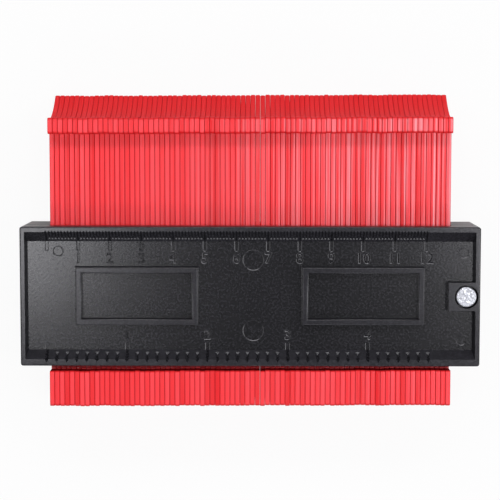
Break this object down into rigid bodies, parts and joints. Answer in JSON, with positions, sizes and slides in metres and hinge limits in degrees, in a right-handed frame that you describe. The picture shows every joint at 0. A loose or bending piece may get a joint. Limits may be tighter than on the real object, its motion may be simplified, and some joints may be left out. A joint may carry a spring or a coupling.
{
  "type": "contour gauge",
  "caption": "Profile-copying gauge: a row of thin red plastic fingers with bevelled noses slides by friction through a black two-shell body with centimetre and inch scales.",
  "frame": {"origin": "middle of the body's back face, on the surface that the gauge lies on", "axes": "+X along the row of fingers, to the right as the scales are read; +Y along the fingers, towards their noses; +Z out of the front face with the scales"},
  "size_m": [0.145, 0.0991, 0.024],
  "materials": {
    "body_plastic": "satin moulded ABS",
    "finger_plastic": "semi-gloss moulded ABS",
    "magnet_plating": "mottled nickel plating",
    "pad_foam": "closed-cell foam",
    "screw_steel": "zinc plated"
  },
  "bodies": {
    "body": {"front_shell": "body_plastic", "rear_shell": "body_plastic", "magnet_disc": "magnet_plating", "front_upper_pad": "pad_foam", "front_lower_pad": "pad_foam", "rear_upper_pad": "pad_foam", "rear_lower_pad": "pad_foam", "case_screw_1": "screw_steel", "case_screw_2": "screw_steel", "case_screw_3": "screw_steel", "case_screw_4": "screw_steel"},
    "finger_pair_01": {"finger_pair_01": "finger_plastic"},
    "finger_pair_02": {"finger_pair_02": "finger_plastic"},
    "finger_pair_03": {"finger_pair_03": "finger_plastic"},
    "finger_pair_04": {"finger_pair_04": "finger_plastic"},
    "finger_pair_05": {"finger_pair_05": "finger_plastic"},
    "finger_pair_06": {"finger_pair_06": "finger_plastic"},
    "finger_pair_07": {"finger_pair_07": "finger_plastic"},
    "finger_pair_08": {"finger_pair_08": "finger_plastic"},
    "finger_pair_09": {"finger_pair_09": "finger_plastic"},
    "finger_pair_10": {"finger_pair_10": "finger_plastic"},
    "finger_pair_11": {"finger_pair_11": "finger_plastic"},
    "finger_pair_12": {"finger_pair_12": "finger_plastic"},
    "finger_pair_13": {"finger_pair_13": "finger_plastic"},
    "finger_pair_14": {"finger_pair_14": "finger_plastic"},
    "finger_pair_15": {"finger_pair_15": "finger_plastic"},
    "finger_pair_16": {"finger_pair_16": "finger_plastic"},
    "finger_pair_17": {"finger_pair_17": "finger_plastic"},
    "finger_pair_18": {"finger_pair_18": "finger_plastic"},
    "finger_pair_19": {"finger_pair_19": "finger_plastic"},
    "finger_pair_20": {"finger_pair_20": "finger_plastic"},
    "finger_pair_21": {"finger_pair_21": "finger_plastic"},
    "finger_pair_22": {"finger_pair_22": "finger_plastic"},
    "finger_pair_23": {"finger_pair_23": "finger_plastic"},
    "finger_pair_24": {"finger_pair_24": "finger_plastic"},
    "finger_pair_25": {"finger_pair_25": "finger_plastic"},
    "finger_pair_26": {"finger_pair_26": "finger_plastic"},
    "finger_pair_27": {"finger_pair_27": "finger_plastic"},
    "finger_pair_28": {"finger_pair_28": "finger_plastic"},
    "finger_pair_29": {"finger_pair_29": "finger_plastic"},
    "finger_pair_30": {"finger_pair_30": "finger_plastic"},
    "finger_pair_31": {"finger_pair_31": "finger_plastic"},
    "finger_pair_32": {"finger_pair_32": "finger_plastic"},
    "finger_pair_33": {"finger_pair_33": "finger_plastic"},
    "finger_pair_34": {"finger_pair_34": "finger_plastic"},
    "finger_pair_35": {"finger_pair_35": "finger_plastic"},
    "finger_pair_36": {"finger_pair_36": "finger_plastic"},
    "finger_pair_37": {"finger_pair_37": "finger_plastic"},
    "finger_pair_38": {"finger_pair_38": "finger_plastic"},
    "finger_pair_39": {"finger_pair_39": "finger_plastic"},
    "finger_pair_40": {"finger_pair_40": "finger_plastic"}
  },
  "joints": [
    {"name": "finger_pair_01_slide", "type": "slide", "parent": "body", "child": "finger_pair_01", "axis": [0, 1, 0], "range_m": [-0.0288, 0.0016]},
    {"name": "finger_pair_02_slide", "type": "slide", "parent": "body", "child": "finger_pair_02", "axis": [0, 1, 0], "range_m": [-0.0288, 0.0017]},
    {"name": "finger_pair_03_slide", "type": "slide", "parent": "body", "child": "finger_pair_03", "axis": [0, 1, 0], "range_m": [-0.0288, 0.0016]},
    {"name": "finger_pair_04_slide", "type": "slide", "parent": "body", "child": "finger_pair_04", "axis": [0, 1, 0], "range_m": [-0.0287, 0.0019]},
    {"name": "finger_pair_05_slide", "type": "slide", "parent": "body", "child": "finger_pair_05", "axis": [0, 1, 0], "range_m": [-0.0288, 0.0016]},
    {"name": "finger_pair_06_slide", "type": "slide", "parent": "body", "child": "finger_pair_06", "axis": [0, 1, 0], "range_m": [-0.029, 0.0015]},
    {"name": "finger_pair_07_slide", "type": "slide", "parent": "body", "child": "finger_pair_07", "axis": [0, 1, 0], "range_m": [-0.0288, 0.0017]},
    {"name": "finger_pair_08_slide", "type": "slide", "parent": "body", "child": "finger_pair_08", "axis": [0, 1, 0], "range_m": [-0.0288, 0.0017]},
    {"name": "finger_pair_09_slide", "type": "slide", "parent": "body", "child": "finger_pair_09", "axis": [0, 1, 0], "range_m": [-0.0288, 0.0015]},
    {"name": "finger_pair_10_slide", "type": "slide", "parent": "body", "child": "finger_pair_10", "axis": [0, 1, 0], "range_m": [-0.0288, 0.0017]},
    {"name": "finger_pair_11_slide", "type": "slide", "parent": "body", "child": "finger_pair_11", "axis": [0, 1, 0], "range_m": [-0.0288, 0.0016]},
    {"name": "finger_pair_12_slide", "type": "slide", "parent": "body", "child": "finger_pair_12", "axis": [0, 1, 0], "range_m": [-0.0288, 0.0016]},
    {"name": "finger_pair_13_slide", "type": "slide", "parent": "body", "child": "finger_pair_13", "axis": [0, 1, 0], "range_m": [-0.0288, 0.0016]},
    {"name": "finger_pair_14_slide", "type": "slide", "parent": "body", "child": "finger_pair_14", "axis": [0, 1, 0], "range_m": [-0.029, 0.0014]},
    {"name": "finger_pair_15_slide", "type": "slide", "parent": "body", "child": "finger_pair_15", "axis": [0, 1, 0], "range_m": [-0.029, 0.0014]},
    {"name": "finger_pair_16_slide", "type": "slide", "parent": "body", "child": "finger_pair_16", "axis": [0, 1, 0], "range_m": [-0.0288, 0.0015]},
    {"name": "finger_pair_17_slide", "type": "slide", "parent": "body", "child": "finger_pair_17", "axis": [0, 1, 0], "range_m": [-0.029, 0.0015]},
    {"name": "finger_pair_18_slide", "type": "slide", "parent": "body", "child": "finger_pair_18", "axis": [0, 1, 0], "range_m": [-0.0289, 0.0016]},
    {"name": "finger_pair_19_slide", "type": "slide", "parent": "body", "child": "finger_pair_19", "axis": [0, 1, 0], "range_m": [-0.0289, 0.0015]},
    {"name": "finger_pair_20_slide", "type": "slide", "parent": "body", "child": "finger_pair_20", "axis": [0, 1, 0], "range_m": [-0.029, 0.0015]},
    {"name": "finger_pair_21_slide", "type": "slide", "parent": "body", "child": "finger_pair_21", "axis": [0, 1, 0], "range_m": [-0.0291, 0.0014]},
    {"name": "finger_pair_22_slide", "type": "slide", "parent": "body", "child": "finger_pair_22", "axis": [0, 1, 0], "range_m": [-0.0289, 0.0013]},
    {"name": "finger_pair_23_slide", "type": "slide", "parent": "body", "child": "finger_pair_23", "axis": [0, 1, 0], "range_m": [-0.0291, 0.0014]},
    {"name": "finger_pair_24_slide", "type": "slide", "parent": "body", "child": "finger_pair_24", "axis": [0, 1, 0], "range_m": [-0.029, 0.0013]},
    {"name": "finger_pair_25_slide", "type": "slide", "parent": "body", "child": "finger_pair_25", "axis": [0, 1, 0], "range_m": [-0.0291, 0.0014]},
    {"name": "finger_pair_26_slide", "type": "slide", "parent": "body", "child": "finger_pair_26", "axis": [0, 1, 0], "range_m": [-0.029, 0.0014]},
    {"name": "finger_pair_27_slide", "type": "slide", "parent": "body", "child": "finger_pair_27", "axis": [0, 1, 0], "range_m": [-0.029, 0.0015]},
    {"name": "finger_pair_28_slide", "type": "slide", "parent": "body", "child": "finger_pair_28", "axis": [0, 1, 0], "range_m": [-0.029, 0.0013]},
    {"name": "finger_pair_29_slide", "type": "slide", "parent": "body", "child": "finger_pair_29", "axis": [0, 1, 0], "range_m": [-0.029, 0.0014]},
    {"name": "finger_pair_30_slide", "type": "slide", "parent": "body", "child": "finger_pair_30", "axis": [0, 1, 0], "range_m": [-0.0291, 0.0014]},
    {"name": "finger_pair_31_slide", "type": "slide", "parent": "body", "child": "finger_pair_31", "axis": [0, 1, 0], "range_m": [-0.0292, 0.0012]},
    {"name": "finger_pair_32_slide", "type": "slide", "parent": "body", "child": "finger_pair_32", "axis": [0, 1, 0], "range_m": [-0.0291, 0.0012]},
    {"name": "finger_pair_33_slide", "type": "slide", "parent": "body", "child": "finger_pair_33", "axis": [0, 1, 0], "range_m": [-0.0291, 0.0013]},
    {"name": "finger_pair_34_slide", "type": "slide", "parent": "body", "child": "finger_pair_34", "axis": [0, 1, 0], "range_m": [-0.0291, 0.0014]},
    {"name": "finger_pair_35_slide", "type": "slide", "parent": "body", "child": "finger_pair_35", "axis": [0, 1, 0], "range_m": [-0.0293, 0.0012]},
    {"name": "finger_pair_36_slide", "type": "slide", "parent": "body", "child": "finger_pair_36", "axis": [0, 1, 0], "range_m": [-0.0292, 0.0012]},
    {"name": "finger_pair_37_slide", "type": "slide", "parent": "body", "child": "finger_pair_37", "axis": [0, 1, 0], "range_m": [-0.0293, 0.0012]},
    {"name": "finger_pair_38_slide", "type": "slide", "parent": "body", "child": "finger_pair_38", "axis": [0, 1, 0], "range_m": [-0.0292, 0.0012]},
    {"name": "finger_pair_39_slide", "type": "slide", "parent": "body", "child": "finger_pair_39", "axis": [0, 1, 0], "range_m": [-0.0292, 0.0012]},
    {"name": "finger_pair_40_slide", "type": "slide", "parent": "body", "child": "finger_pair_40", "axis": [0, 1, 0], "range_m": [-0.0291, 0.0014]}
  ]
}
